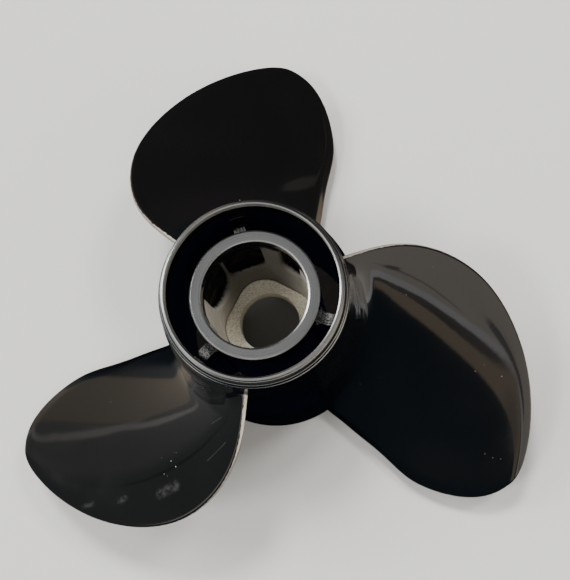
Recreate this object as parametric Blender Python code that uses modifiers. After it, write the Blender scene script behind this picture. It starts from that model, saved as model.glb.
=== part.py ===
"""Three-bladed outboard propeller with exhaust through the hub.

The shaft axis is Z. The propeller stands on its aft end, with the forward end, which slides onto the shaft
first, facing up. The origin lies on the shaft axis in the plane of the aft end, and blade_1 points along +Y.
Angles are measured about the shaft, anticlockwise from +X as seen from above, and heights from the aft end.
All sizes are in metres.
"""
import math

import bmesh
import bpy
from mathutils import Vector

# Driving dimensions
MM = 0.001
GAP = 0.3 * MM                    # clearance between neighbouring solids
RIM_Z = 144.2 * MM                # top of the machined front rim
THRUST_Z = 131.0 * MM             # the ring that bears on the thrust washer
SPIGOT_END_Z = 134.8 * MM         # where the machined front ends and the painted barrel starts
AFT_SEAM_Z = 15.0 * MM            # where the barrel ends and the aft flare starts
BARREL_RADIUS = 54.0 * MM
BARREL_WALL = 4.6 * MM
RIDGE_RADIUS = 44.8 * MM          # the machined front rim ends in a ridge with two slopes
RIM_RADIUS = 46.2 * MM
RIM_BORE = 44.0 * MM
LAND_RADIUS = 46.4 * MM           # the machined land between the rim and the shoulder
STEP_RADIUS = 47.7 * MM
SHOULDER_RADIUS = 48.8 * MM
FLARE_RADIUS = 57.5 * MM
FLARE_WALL = 3.2 * MM

INNER_RADIUS = 33.8 * MM
INNER_BORE = 30.5 * MM
INNER_END_Z = 27.0 * MM
MOUTH_RADIUS = 27.7 * MM
THRUST_RING_LENGTH = 7.0 * MM
SEAT_Z = 48.0 * MM                # the socket's floor, around the shaft hole
SEAT_THICKNESS = 12.0 * MM
SHAFT_HOLE_RADIUS = 17.7 * MM

SOCKET_FLAT = 23.9 * MM           # half the width across the flats of the square socket
SOCKET_ROUNDING = 16.8 * MM       # radius of the square's rounded corners
SOCKET_ANGLE = 139.5              # the direction that one flat faces
SOCKET_SIDES = 64

# The open pockets cast in the socket's wall: direction, half width in degrees, how far they reach below
# the thrust face, the height of their rounded end, and how much deeper they get for each metre clockwise.
POCKETS = (
    (97.0, 22.0, 56.0 * MM, 18.0 * MM, 0.15),
    (143.5, 21.0, 61.0 * MM, 30.0 * MM, 0.0),
    (217.0, 22.0, 56.0 * MM, 18.0 * MM, 0.15),
    (263.5, 21.0, 61.0 * MM, 30.0 * MM, 0.0),
    (337.0, 22.0, 56.0 * MM, 18.0 * MM, 0.15),
    (39.0, 13.0, 43.0 * MM, 12.0 * MM, 0.0),
)
POCKET_POWER = 2.4                # the rounded end is a little squarer than an ellipse
POCKET_CUT = 9.0 * MM             # how far the pocket's cutter reaches through the wall

RIB_THICKNESS = 6.4 * MM
RIB_FRONT_Z = 113.0 * MM
RIB_FACED_RADIUS = 42.0 * MM      # the turning tool faced the ribs out to here
RIB_SLOPE = 2.0 * MM              # how far the unfaced outer part slopes away
RIB_END_Z = 25.0 * MM
RIB_ANGLES = (91.8, 211.8, 331.8)

BLADE_ANGLES = (90.0, 210.0, 330.0)
ROOT_LEAD = 78.2 * MM             # metres forward for each radian round the barrel
LEAD_FADE = 0.137                 # the lead falls towards the tip
ROOT_Z = 63.6 * MM                # the middle of the blade's root
RAKE = 0.264                      # metres aft for each metre outwards, at the root
RAKE_EASE = 1.09                  # per metre: the rake fades towards the tip
BLADE_ROOT_THICKNESS = 9.0 * MM
BLADE_TIP_THICKNESS = 3.4 * MM
BLADE_EDGE_THICKNESS = 2.6 * MM
BLADE_CAMBER = 4.0 * MM
ROOT_FILLET = 9.0 * MM
EDGE_ROUNDING = 0.8 * MM
CHORD_CELLS = 22
SPAN_CELLS = 18
SPAN_SHARE = 0.975                # the grid stops just short of the tip, where its columns would meet

# A blade's outline as radius in millimetres and angle in degrees from its mid line:
# up the leading edge from inside the barrel, round the tip, and down the trailing edge.
BLADE_OUTLINE = (
    (44.0, 42.0),
    (73.2, 40.6),
    (97.6, 35.5),
    (123.0, 25.2),
    (145.7, 9.6),
    (163.3, -7.3),
    (166.7, -16.1),
    (155.6, -23.5),
    (125.2, -30.7),
    (91.8, -33.4),
    (50.0, -40.2),
)
TIP_KNOT = 6
ROUND_STEPS = 72


def clear_scene():
    for obj in list(bpy.data.objects):
        bpy.data.objects.remove(obj, do_unlink=True)


def make_collection(name):
    group = bpy.data.collections.new(name)
    bpy.context.scene.collection.children.link(group)
    return group


def make_material(name, colour, roughness, metallic):
    material = bpy.data.materials.new(name)
    material.use_nodes = True
    shader = material.node_tree.nodes["Principled BSDF"]
    shader.inputs["Base Color"].default_value = (*colour, 1.0)
    shader.inputs["Roughness"].default_value = roughness
    shader.inputs["Metallic"].default_value = metallic
    return material


def place(obj, group, material=None):
    group.objects.link(obj)
    if material is not None:
        obj.data.materials.append(material)
    return obj


def make_cutter(obj):
    obj.hide_render = True
    obj.display_type = "WIRE"


def turned(name, profile, group, material=None, steps=ROUND_STEPS):
    """A closed profile of (radius, height) points, turned about the shaft axis.

    The points run down the outside and up the inside.
    """
    mesh = bpy.data.meshes.new(name)
    shape = bmesh.new()
    ring = [shape.verts.new((radius, 0.0, height)) for radius, height in profile]
    for here, there in zip(ring, ring[1:] + ring[:1]):
        shape.edges.new((here, there))
    shape.to_mesh(mesh)
    shape.free()
    obj = place(bpy.data.objects.new(name, mesh), group, material)
    screw = obj.modifiers.new("turn", "SCREW")
    screw.axis = "Z"
    screw.steps = steps
    screw.render_steps = steps
    screw.use_merge_vertices = True
    screw.merge_threshold = 0.00001
    return obj


def cut(obj, cutter, operation="DIFFERENCE"):
    boolean = obj.modifiers.new(cutter.name, "BOOLEAN")
    boolean.object = cutter
    boolean.operation = operation
    boolean.solver = "EXACT"


def polar(radius, degrees, height):
    angle = math.radians(degrees)
    return Vector((radius * math.cos(angle), radius * math.sin(angle), height))


def smooth_curve(knots, position):
    """A smooth curve through the knots; position runs from 0 to the last knot's number."""
    index = min(int(position), len(knots) - 2)
    t = position - index
    before = knots[max(index - 1, 0)]
    start = knots[index]
    end = knots[index + 1]
    after = knots[min(index + 2, len(knots) - 1)]
    return tuple(
        0.5 * (2 * b + (c - a) * t + (2 * a - 5 * b + 4 * c - d) * t * t + (3 * b - a - 3 * c + d) * t ** 3)
        for a, b, c, d in zip(before, start, end, after)
    )


def blade_height(radius, degrees):
    """The height of the blade's middle surface, for a point on the outline or inside it."""
    out = radius - BARREL_RADIUS
    lead = ROOT_LEAD - LEAD_FADE * out
    return ROOT_Z + lead * math.radians(degrees) - RAKE * out + RAKE_EASE * out * out


def barrel_outside(clearance=0.0):
    """The barrel's outer line from front to aft: it swells behind the machined front, then runs straight."""
    line = [(48.9, 134.5), (49.6, 127.0), (50.8, 121.0), (52.3, 111.0), (53.4, 99.0)]
    swell = [(radius * MM + clearance, height * MM) for radius, height in line]
    return swell + [(BARREL_RADIUS + clearance, 71.0 * MM), (BARREL_RADIUS + clearance, AFT_SEAM_Z)]


def barrel_radius(height):
    """The barrel's outside radius at a height."""
    line = barrel_outside()
    for (upper_radius, upper), (lower_radius, lower) in zip(line, line[1:]):
        if height >= lower:
            share = min(max((upper - height) / (upper - lower), 0.0), 1.0)
            return upper_radius + (lower_radius - upper_radius) * share
    return BARREL_RADIUS


def blade_thickness(across, point):
    """Thickness at a share of the chord from the leading edge, for a point of the middle surface."""
    out = point.xy.length - barrel_radius(point.z)
    share = min(max(out / (BLADE_OUTLINE[TIP_KNOT][0] * MM - BARREL_RADIUS), 0.0), 1.0)
    middle = BLADE_ROOT_THICKNESS + (BLADE_TIP_THICKNESS - BLADE_ROOT_THICKNESS) * share ** 0.8
    lens = max(4 * across * (1 - across), 0.0) ** 0.7
    fillet = min(max(1 - out / ROOT_FILLET, 0.0), 1.0) ** 2 * ROOT_FILLET
    return BLADE_EDGE_THICKNESS + (middle + fillet - BLADE_EDGE_THICKNESS) * lens


def make_blade(name, degrees, group, material, barrel_cutter):
    mesh = bpy.data.meshes.new(name)
    shape = bmesh.new()
    bmesh.ops.create_grid(shape, x_segments=CHORD_CELLS, y_segments=SPAN_CELLS, size=0.5)
    last = len(BLADE_OUTLINE) - 1
    thickness = {}
    for vert in shape.verts:
        across = vert.co.x + 0.5
        along = (vert.co.y + 0.5) * SPAN_SHARE
        lead = smooth_curve(BLADE_OUTLINE, TIP_KNOT * along)
        trail = smooth_curve(BLADE_OUTLINE, last - (last - TIP_KNOT) * along)
        radius = (lead[0] + (trail[0] - lead[0]) * across) * MM
        angle = lead[1] + (trail[1] - lead[1]) * across
        rise = math.sin(math.pi * min(along, 1.0)) * 4 * across * (1 - across)
        vert.co = polar(radius, angle + degrees, blade_height(radius, angle) + BLADE_CAMBER * rise)
        thickness[vert.index] = blade_thickness(across, vert.co)
    bmesh.ops.recalc_face_normals(shape, faces=shape.faces)
    shape.to_mesh(mesh)
    shape.free()
    obj = place(bpy.data.objects.new(name, mesh), group, material)
    thickest = max(thickness.values())
    weights = obj.vertex_groups.new(name="thickness")
    for index, value in thickness.items():
        weights.add([index], value / thickest, "REPLACE")
    solidify = obj.modifiers.new("thickness", "SOLIDIFY")
    solidify.thickness = thickest
    solidify.offset = 0.0
    solidify.vertex_group = "thickness"
    bevel = obj.modifiers.new("round edge", "BEVEL")
    bevel.width = EDGE_ROUNDING
    bevel.segments = 2
    bevel.limit_method = "ANGLE"
    bevel.angle_limit = math.radians(50)
    cut(obj, barrel_cutter)
    return obj


def barrel_inside(clearance=0.0):
    """The exhaust passage's outer wall, from front to aft."""
    line = [(43.3, 134.5), (44.6, 127.0), (46.0, 121.0), (47.5, 111.0), (48.7, 99.0)]
    swell = [(radius * MM - clearance, height * MM) for radius, height in line]
    bore = BARREL_RADIUS - BARREL_WALL - clearance
    return swell + [(bore, 87.0 * MM), (bore, AFT_SEAM_Z)]


def flare_outside(clearance=0.0):
    return [
        (BARREL_RADIUS + clearance, AFT_SEAM_Z - GAP),
        (BARREL_RADIUS + 0.4 * MM + clearance, 10.0 * MM),
        (FLARE_RADIUS - 1.2 * MM + clearance, 3.5 * MM),
        (FLARE_RADIUS + clearance, 0.0),
    ]


def make_spigot(group, material):
    """The machined front: a ridge, the land's cylinder, a step, and the sloping shoulder next to the barrel."""
    crest = 0.15 * MM
    outside = [
        (RIDGE_RADIUS + crest, RIM_Z),
        (RIM_RADIUS, RIM_Z - 0.8 * MM),
        (RIM_RADIUS, RIM_Z - 2.8 * MM),
        (LAND_RADIUS, RIM_Z - 3.1 * MM),
        (LAND_RADIUS, RIM_Z - 7.3 * MM),
        (STEP_RADIUS, RIM_Z - 7.3 * MM),
        (SHOULDER_RADIUS, RIM_Z - 9.1 * MM),
        (SHOULDER_RADIUS, SPIGOT_END_Z),
    ]
    inside = [
        (RIM_BORE - 0.7 * MM, SPIGOT_END_Z),
        (RIM_BORE, RIM_Z - 4.7 * MM),
        (RIM_BORE, RIM_Z - 0.7 * MM),
        (RIDGE_RADIUS - crest, RIM_Z),
    ]
    return turned("front_spigot", outside + inside, group, material)


def make_barrel(group, material):
    return turned("barrel", barrel_outside() + list(reversed(barrel_inside())), group, material)


def make_flare(group, material):
    bore = BARREL_RADIUS - BARREL_WALL
    inside = [
        (FLARE_RADIUS - FLARE_WALL, 0.0),
        (bore + 0.8 * MM, 8.0 * MM),
        (bore, AFT_SEAM_Z - GAP),
    ]
    return turned("aft_flare", flare_outside() + inside, group, material)


def make_thrust_ring(group, material):
    bevel = 0.5 * MM
    end = THRUST_Z - THRUST_RING_LENGTH
    profile = [
        (INNER_RADIUS - bevel, THRUST_Z),
        (INNER_RADIUS, THRUST_Z - bevel),
        (INNER_RADIUS, end),
        (MOUTH_RADIUS, end),
        (MOUTH_RADIUS, THRUST_Z - bevel),
        (MOUTH_RADIUS + bevel, THRUST_Z),
    ]
    return turned("thrust_ring", profile, group, material)


def make_inner_hub(group, material):
    front = THRUST_Z - THRUST_RING_LENGTH - GAP
    bevel = 1.0 * MM
    profile = [
        (INNER_RADIUS, front),
        (INNER_RADIUS, INNER_END_Z + bevel),
        (INNER_RADIUS - bevel, INNER_END_Z),
        (INNER_BORE, INNER_END_Z),
        (INNER_BORE, front),
    ]
    return turned("inner_hub", profile, group, material)


def square_radius(degrees):
    """The outline of a square with rounded corners."""
    turn = math.radians((degrees - SOCKET_ANGLE) % 90)
    turn = min(turn, math.pi / 2 - turn)
    centre = SOCKET_FLAT - SOCKET_ROUNDING
    if SOCKET_FLAT * math.tan(turn) < centre:
        return SOCKET_FLAT / math.cos(turn)
    along = centre * (math.cos(turn) + math.sin(turn))
    return along + math.sqrt(along * along - 2 * centre * centre + SOCKET_ROUNDING * SOCKET_ROUNDING)


def socket_radius(degrees, depth):
    """The socket's inner wall: round at its mouth, a square with rounded corners at its floor."""
    blend = depth ** 0.8
    return (MOUTH_RADIUS + 0.2 * MM) * (1 - blend) + square_radius(degrees) * blend


def socket_ring(depth, height, clearance=0.0):
    """One section of the socket's hollow, as points round the shaft."""
    turns = [360.0 / SOCKET_SIDES * side for side in range(SOCKET_SIDES)]
    return [polar(socket_radius(turn, depth) - clearance, turn, height) for turn in turns]


def lofted(name, sections, group, material=None):
    """A closed solid through sections that have the same number of points."""
    mesh = bpy.data.meshes.new(name)
    shape = bmesh.new()
    rings = [[shape.verts.new(point) for point in section] for section in sections]
    for near, far in zip(rings, rings[1:]):
        for here in range(len(near)):
            after = (here + 1) % len(near)
            shape.faces.new((near[here], near[after], far[after], far[here]))
    shape.faces.new(rings[0])
    shape.faces.new(rings[-1])
    bmesh.ops.recalc_face_normals(shape, faces=shape.faces)
    shape.to_mesh(mesh)
    shape.free()
    return place(bpy.data.objects.new(name, mesh), group, material)


def extruded(name, corners, thickness, group, material=None):
    """A flat outline of (x, y) corners in the XY plane, with its thickness along Z."""
    curve = bpy.data.curves.new(f"{name}_outline", "CURVE")
    curve.dimensions = "2D"
    curve.fill_mode = "BOTH"
    curve.extrude = thickness / 2
    line = curve.splines.new("POLY")
    line.points.add(len(corners) - 1)
    for point, (x, y) in zip(line.points, corners):
        point.co = (x, y, 0.0, 1.0)
    line.use_cyclic_u = True
    outline = bpy.data.objects.new(f"{name}_outline", curve)
    group.objects.link(outline)
    bpy.context.view_layer.update()
    graph = bpy.context.evaluated_depsgraph_get()
    mesh = bpy.data.meshes.new_from_object(outline.evaluated_get(graph))
    mesh.name = name
    shape = bmesh.new()
    shape.from_mesh(mesh)
    bmesh.ops.remove_doubles(shape, verts=shape.verts, dist=0.00001)
    bmesh.ops.recalc_face_normals(shape, faces=shape.faces)
    shape.to_mesh(mesh)
    shape.free()
    bpy.data.objects.remove(outline, do_unlink=True)
    return place(bpy.data.objects.new(name, mesh), group, material)


def pocket_outline(half_width, depth, end, skew, top):
    """A straight-sided slot that is open at the top and rounded at its lower end."""
    points = [(-half_width, top)]
    steps = 12
    for step in range(steps + 1):
        across = -math.cos(math.pi * step / steps)
        drop = end * (1 - abs(across) ** POCKET_POWER) ** (1 / POCKET_POWER)
        x = half_width * across
        points.append((x, THRUST_Z - depth + end - drop + skew * x))
    points.append((half_width, top))
    return points


def make_socket(group, cutters, material):
    front = THRUST_Z - THRUST_RING_LENGTH - GAP
    back = SEAT_Z - SEAT_THICKNESS
    beyond = 2.0 * MM
    outer = INNER_BORE - GAP
    core = 15.0 * MM
    profile = [(outer, front), (outer, back), (core, back), (core, front)]
    socket = turned("drive_socket", profile, group, material)
    levels = 6
    sections = [socket_ring(0.0, front + beyond)]
    for level in range(levels + 1):
        depth = level / levels
        sections.append(socket_ring(depth, front + (SEAT_Z - front) * depth))
    sections.append(socket_ring(1.0, back - beyond))
    hollow = lofted("socket_hollow", sections, cutters)
    make_cutter(hollow)
    cut(socket, hollow)
    middle = (MOUTH_RADIUS + INNER_BORE) / 2
    for number, (degrees, half_angle, depth, end, skew) in enumerate(POCKETS, start=1):
        half_width = middle * math.sin(math.radians(half_angle))
        corners = pocket_outline(half_width, depth, end, skew, front + beyond)
        pocket = extruded(f"pocket_{number}", corners, POCKET_CUT, cutters)
        pocket.location = polar(middle, degrees, 0.0)
        pocket.rotation_euler = (math.pi / 2, 0.0, math.radians(degrees + 90.0))
        make_cutter(pocket)
        cut(socket, pocket)
    return socket


def make_seat(group, cutters, material):
    """The socket's floor, which the shaft passes through and the nut pulls against."""
    back = SEAT_Z - SEAT_THICKNESS
    sections = [socket_ring(1.0, SEAT_Z, GAP), socket_ring(1.0, back, GAP)]
    seat = lofted("shaft_seat", sections, group, material)
    mesh = bpy.data.meshes.new("shaft_hole")
    shape = bmesh.new()
    bmesh.ops.create_cone(
        shape,
        cap_ends=True,
        segments=ROUND_STEPS,
        radius1=SHAFT_HOLE_RADIUS,
        radius2=SHAFT_HOLE_RADIUS,
        depth=2 * SEAT_THICKNESS,
    )
    shape.to_mesh(mesh)
    shape.free()
    hole = place(bpy.data.objects.new("shaft_hole", mesh), cutters)
    hole.location = (0.0, 0.0, (SEAT_Z + back) / 2)
    make_cutter(hole)
    cut(seat, hole)
    return seat


def make_rib(number, degrees, group, material, passage):
    """One of the three walls that carry the inner hub; the passage between the hubs trims it."""
    outer = BARREL_RADIUS
    inner = INNER_RADIUS - 2.0 * MM
    corners = [
        (inner, RIB_FRONT_Z),
        (RIB_FACED_RADIUS, RIB_FRONT_Z),
        (RIB_FACED_RADIUS + 0.6 * MM, RIB_FRONT_Z - RIB_SLOPE / 2),
        (outer, RIB_FRONT_Z - RIB_SLOPE),
        (outer, RIB_END_Z),
        (inner, RIB_END_Z + 8.0 * MM),
    ]
    rib = extruded(f"rib_{number}", corners, RIB_THICKNESS, group, material)
    rib.rotation_euler = (math.pi / 2, 0.0, math.radians(degrees))
    cut(rib, passage, "INTERSECT")
    return rib


def build():
    clear_scene()
    parts = make_collection("propeller")
    cutters = make_collection("cutters")
    paint = make_material("gloss_black_paint", (0.012, 0.012, 0.014), 0.18, 0.0)
    machined = make_material("machined_aluminium", (0.74, 0.75, 0.75), 0.32, 1.0)
    cast = make_material("cast_metal", (0.56, 0.53, 0.47), 0.62, 0.6)

    above = RIM_Z + 5.0 * MM
    below = -20.0 * MM
    core = 10.0 * MM
    front = [(SHOULDER_RADIUS + GAP, above)]
    aft = [(FLARE_RADIUS + GAP, below), (core, below), (core, above)]
    outline = front + barrel_outside(GAP) + flare_outside(GAP)[1:] + aft
    barrel_cutter = turned("barrel_cutter", outline, cutters)
    make_cutter(barrel_cutter)
    hub_side = INNER_RADIUS + GAP
    top = barrel_inside(GAP)[0][1]
    hub_line = [(hub_side, AFT_SEAM_Z), (hub_side, top)]
    passage = turned("passage", barrel_inside(GAP) + hub_line, cutters)
    make_cutter(passage)

    objects = [
        make_spigot(parts, machined),
        make_barrel(parts, paint),
        make_flare(parts, paint),
        make_thrust_ring(parts, machined),
        make_inner_hub(parts, paint),
        make_socket(parts, cutters, cast),
        make_seat(parts, cutters, cast),
    ]
    for number, degrees in enumerate(RIB_ANGLES, start=1):
        objects.append(make_rib(number, degrees, parts, paint, passage))
    for number, degrees in enumerate(BLADE_ANGLES, start=1):
        objects.append(make_blade(f"blade_{number}", degrees, parts, paint, barrel_cutter))
    for obj in objects:
        obj.data.shade_smooth()
        obj.data.set_sharp_from_angle(angle=math.radians(35))


build()
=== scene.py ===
# %% [markdown]
# # A boat propeller with exhaust through its hub
# The real thing is one aluminium casting: three skewed blades on a hollow barrel, an inner hub held in the
# barrel by three ribs, and a square socket for the drive bush. Gloss black paint covers it, and a lathe then
# bares the front rim and the thrust face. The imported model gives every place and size, so this lesson starts
# by loading it, and each step after that dresses one of its pieces.

# %% Load the frame
import math

import bmesh
import bpy
import numpy as np
from mathutils import Matrix, Vector
from mathutils.kdtree import KDTree


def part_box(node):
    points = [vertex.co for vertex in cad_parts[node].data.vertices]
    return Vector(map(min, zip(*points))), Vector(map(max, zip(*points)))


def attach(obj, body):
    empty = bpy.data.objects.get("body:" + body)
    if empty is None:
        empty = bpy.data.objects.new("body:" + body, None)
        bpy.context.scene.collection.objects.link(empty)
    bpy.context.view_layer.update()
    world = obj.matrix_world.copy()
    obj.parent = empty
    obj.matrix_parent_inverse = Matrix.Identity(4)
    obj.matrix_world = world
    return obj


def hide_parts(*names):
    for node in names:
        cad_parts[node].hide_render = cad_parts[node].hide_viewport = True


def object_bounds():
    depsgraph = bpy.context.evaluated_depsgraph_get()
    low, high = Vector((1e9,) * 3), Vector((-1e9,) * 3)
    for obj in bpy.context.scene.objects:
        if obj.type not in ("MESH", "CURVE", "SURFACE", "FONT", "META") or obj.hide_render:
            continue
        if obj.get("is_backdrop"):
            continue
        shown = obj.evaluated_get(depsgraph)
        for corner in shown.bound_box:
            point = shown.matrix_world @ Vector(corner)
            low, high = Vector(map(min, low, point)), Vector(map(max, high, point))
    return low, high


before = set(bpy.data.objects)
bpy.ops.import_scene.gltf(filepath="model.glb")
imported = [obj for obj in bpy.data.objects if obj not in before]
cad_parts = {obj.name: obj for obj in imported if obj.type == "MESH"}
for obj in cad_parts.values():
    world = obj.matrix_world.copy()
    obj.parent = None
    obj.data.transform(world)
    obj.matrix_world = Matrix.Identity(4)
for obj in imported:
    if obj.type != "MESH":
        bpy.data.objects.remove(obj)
cad_box = [list(corner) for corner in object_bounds()]
print("nodes:", ", ".join(sorted(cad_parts)))
print("size in mm:", [round(1000 * (high - low), 1) for low, high in zip(*cad_box)])

# %% [markdown]
# ## Heights and radii
# The shaft is the Z axis and the aft end stands on the floor at height 0. Heights and radii are read from
# the boxes of the round pieces, so that the dressed pieces stay where the solids are.

# %% Read the round pieces
MM = 0.001


def round_piece(node):
    """Lowest point, highest point and outside radius of a turned piece."""
    low, high = (Vector(corner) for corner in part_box(node))
    return low.z, high.z, high.x


SHOULDER_Z, RIM_Z, SHOULDER_RADIUS = round_piece("front_spigot")
_, _, BARREL_RADIUS = round_piece("barrel")
AFT_Z, FLARE_TOP, FLARE_RADIUS = round_piece("aft_flare")
RING_LOW, THRUST_Z, RING_RADIUS = round_piece("thrust_ring")
HUB_LOW, HUB_TOP, HUB_RADIUS = round_piece("inner_hub")
SOCKET_LOW, SOCKET_TOP, SOCKET_OUTSIDE = round_piece("drive_socket")
SEAT_LOW, SEAT_Z, _ = round_piece("shaft_seat")
print("rim", round(RIM_Z, 4), "thrust face", round(THRUST_Z, 4), "seat", round(SEAT_Z, 4))

# %% [markdown]
# ## The camera
# The photograph looks down on the forward end, a little from one side. The lens and the place come from
# fitting the two machined rings and the outlines of the three blades. Three turns set the aim: one about
# each axis, in Blender's usual order.

# %% Camera
PHOTO_HEIGHT_PX = 580
FOCAL_PX = 1000.4
SENSOR_MM = 36.0
CAMERA_PLACE = Vector((32.3, -112.3, 627.9)) * MM
CAMERA_TURN = [math.radians(angle) for angle in (11.81, 4.66, -12.78)]
NEAREST_SEEN = 10 * MM

camera_data = bpy.data.cameras.new("camera")
camera_data.sensor_fit = "AUTO"
camera_data.sensor_width = SENSOR_MM
camera_data.lens = FOCAL_PX / PHOTO_HEIGHT_PX * SENSOR_MM
camera_data.clip_start = NEAREST_SEEN
camera = bpy.data.objects.new("camera", camera_data)
camera.location = CAMERA_PLACE
camera.rotation_euler = CAMERA_TURN
bpy.context.scene.collection.objects.link(camera)
bpy.context.scene.camera = camera
print("lens", round(camera_data.lens, 1), "mm")

# %% [markdown]
# ## Floor and light
# Gloss black shows almost nothing of itself: what the eye sees is the room that it mirrors. A photographer
# lights such a thing with large soft cards, so the world's shader here is a dark room with cards hung in
# it, each a soft oval round a direction. A card in the world has no distance and makes no noise. The lamps
# give only the even light that the floor and the bare casting need, and are kept out of mirror images. So
# is the floor, as a matt cloth under the propeller would be: the paint stays black down to the barrel's
# foot.

# %% Fill the inputs of nodes
def fill(tree, sockets, values):
    """Gives each socket its value: the output of a node is linked, and a number, vector or colour is set."""
    for socket, value in zip(sockets, values):
        if isinstance(value, bpy.types.NodeSocket):
            tree.links.new(value, socket)
        else:
            socket.default_value = (*value, 1.0) if socket.type == "RGBA" else value


def set_inputs(tree, node, **values):
    """Fills inputs by their names, with _ for each space."""
    fill(tree, [node.inputs[name.replace("_", " ")] for name in values], values.values())


def add_node(tree, kind, **values):
    """Adds a node; a value sets the property of that name, or else the input."""
    node = tree.nodes.new(kind)
    for name in [name for name in values if name in node.bl_rna.properties]:
        setattr(node, name, values.pop(name))
    set_inputs(tree, node, **values)
    return node


# %% Sums and mixes
def math_node(tree, operation, *values):
    node = add_node(tree, "ShaderNodeMath", operation=operation)
    fill(tree, node.inputs, values)
    return node.outputs[0]


def vector_node(tree, operation, *values):
    node = add_node(tree, "ShaderNodeVectorMath", operation=operation)
    fill(tree, node.inputs, values)
    return node.outputs["Value" if operation in ("LENGTH", "DISTANCE", "DOT_PRODUCT") else "Vector"]


def part_of(tree, vector, axis):
    return add_node(tree, "ShaderNodeSeparateXYZ", Vector=vector).outputs[axis]


def smooth_step(tree, value, low, high, start=0.0, end=1.0):
    """A number that runs smoothly from start to end while the value runs from low to high."""
    node = add_node(tree, "ShaderNodeMapRange", interpolation_type="SMOOTHSTEP")
    fill(tree, node.inputs, (value, low, high, start, end))
    return node.outputs[0]


def mix_colour(tree, share, first, second):
    """The first colour where the share is 0 and the second where it is 1."""
    node = add_node(tree, "ShaderNodeMix", data_type="RGBA")
    fill(tree, [node.inputs[index] for index in (0, 6, 7)], (share, first, second))
    return node.outputs[2]


# %% Start a material
def start_material(name, colour, roughness, metallic):
    material = bpy.data.materials.new(name)
    material.use_nodes = True
    tree = material.node_tree
    shader = tree.nodes["Principled BSDF"]
    set_inputs(tree, shader, Base_Color=colour, Roughness=roughness, Metallic=metallic)
    return material, tree, shader


# %% Floor
FLOOR_RADIUS = 4.0
FLOOR_GAP = 0.2 * MM
FLOOR_GREY = (0.66, 0.66, 0.65)

floor_mesh = bpy.data.meshes.new("floor")
floor_shape = bmesh.new()
bmesh.ops.create_circle(floor_shape, cap_ends=True, segments=96, radius=FLOOR_RADIUS)
floor_shape.to_mesh(floor_mesh)
floor_shape.free()
floor = bpy.data.objects.new("floor", floor_mesh)
floor.location.z = AFT_Z - FLOOR_GAP
floor.visible_glossy = False
bpy.context.scene.collection.objects.link(floor)
floor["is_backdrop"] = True
floor_mesh.materials.append(start_material("floor_paper", FLOOR_GREY, 0.75, 0.0)[0])
print("floor at", round(floor.location.z, 4))

# %% The cards
ROOM = (0.016, 0.042, 0.068)
BACKDROP = (0.60, 0.60, 0.60)
WARM = (1.0, 0.87, 0.70)
ROSE = (1.0, 0.86, 0.89)
CREAM = (1.0, 0.95, 0.90)
TAN = (1.0, 0.80, 0.60)
SAND = (1.0, 0.92, 0.82)
COOL = (0.90, 0.97, 1.0)
NAVY = (0.28, 0.42, 1.0)
WHITE = (1.0, 1.0, 1.0)

# Azimuth and elevation of the middle, roll, half width and half height, all in degrees, then softness,
# colour and strength. A later card hides an earlier one.
CARDS = (
    (0, -90, 0, 64, 64, 0.15, NAVY, 0.006),
    (30, 20, 0, 75, 45, 0.20, ROSE, 0.056),
    (20, -12, 0, 45, 14, 0.60, ROSE, 0.090),
    (3.5, 8, -28, 8.5, 2.4, 0.35, CREAM, 0.27),
    (160, 0, 0, 50, 50, 0.04, COOL, 0.17),
    (137, 5, 25, 15, 60, 0.25, WHITE, 0.28),
    (120, 0, 27, 9.3, 60, 0.10, WARM, 0.52),
    (138, -7, 32, 1.4, 18, 0.60, CREAM, 0.80),
    (128, 13, 14, 1.4, 13, 0.60, CREAM, 0.80),
    (205, 30, 0, 12, 14, 0.30, CREAM, 1.8),
    (158.5, 8, 22, 0.9, 19, 0.50, COOL, 0.08),
    (-48, 33, 0, 36, 36, 0.03, TAN, 0.93),
    (-32, 32, 0, 16, 20, 0.10, SAND, 1.3),
    (-43.3, 5, -52.8, 49, 19.5, 0.02, SAND, 0.22),
    (-44.5, 5, -60, 44.4, 17.8, 0.02, WHITE, 1.6),
    (-39.4, 5, -57.9, 43.6, 17.4, 0.02, SAND, 1.3),
    (-5, -42, 0, 24, 20, 0.10, TAN, 0.95),
    (-62, 22, 22, 0.7, 14, 0.30, SAND, 0.70),
    (-58, 14.5, 0, 1.3, 2.8, 0.40, COOL, 0.30),
    (-58.5, 41, 0, 3.0, 1.5, 0.40, COOL, 0.30),
)

# These hang above what the blades mirror, and give the machined metal its bright and dark sides.
CEILING = (
    (0, 90, 0, 43, 43, 0.05, WHITE, 0.10),
    (98, 41, 0, 15, 9, 0.30, WHITE, 0.06),
    (-118, 66, 0, 31, 17, 0.12, CREAM, 0.85),
    (-36, 58, 0, 20, 13, 0.25, CREAM, 0.43),
    (8, 53, 0, 14, 12, 0.30, WHITE, 0.50),
    (124, 46, 0, 6, 8, 0.30, WHITE, 0.40),
    (178, 53, 0, 14, 12, 0.25, WHITE, 1.5),
    (146, 45, 0, 11, 10, 0.20, WHITE, 12.0),
    (106, 78, 0, 17, 17, 0.30, WHITE, 0.40),
)


def compass(azimuth, elevation):
    """A direction from an azimuth, anticlockwise from +X, and an elevation, both in degrees."""
    turn, rise = math.radians(azimuth), math.radians(elevation)
    return Vector((math.cos(rise) * math.cos(turn), math.cos(rise) * math.sin(turn), math.sin(rise)))


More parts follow.
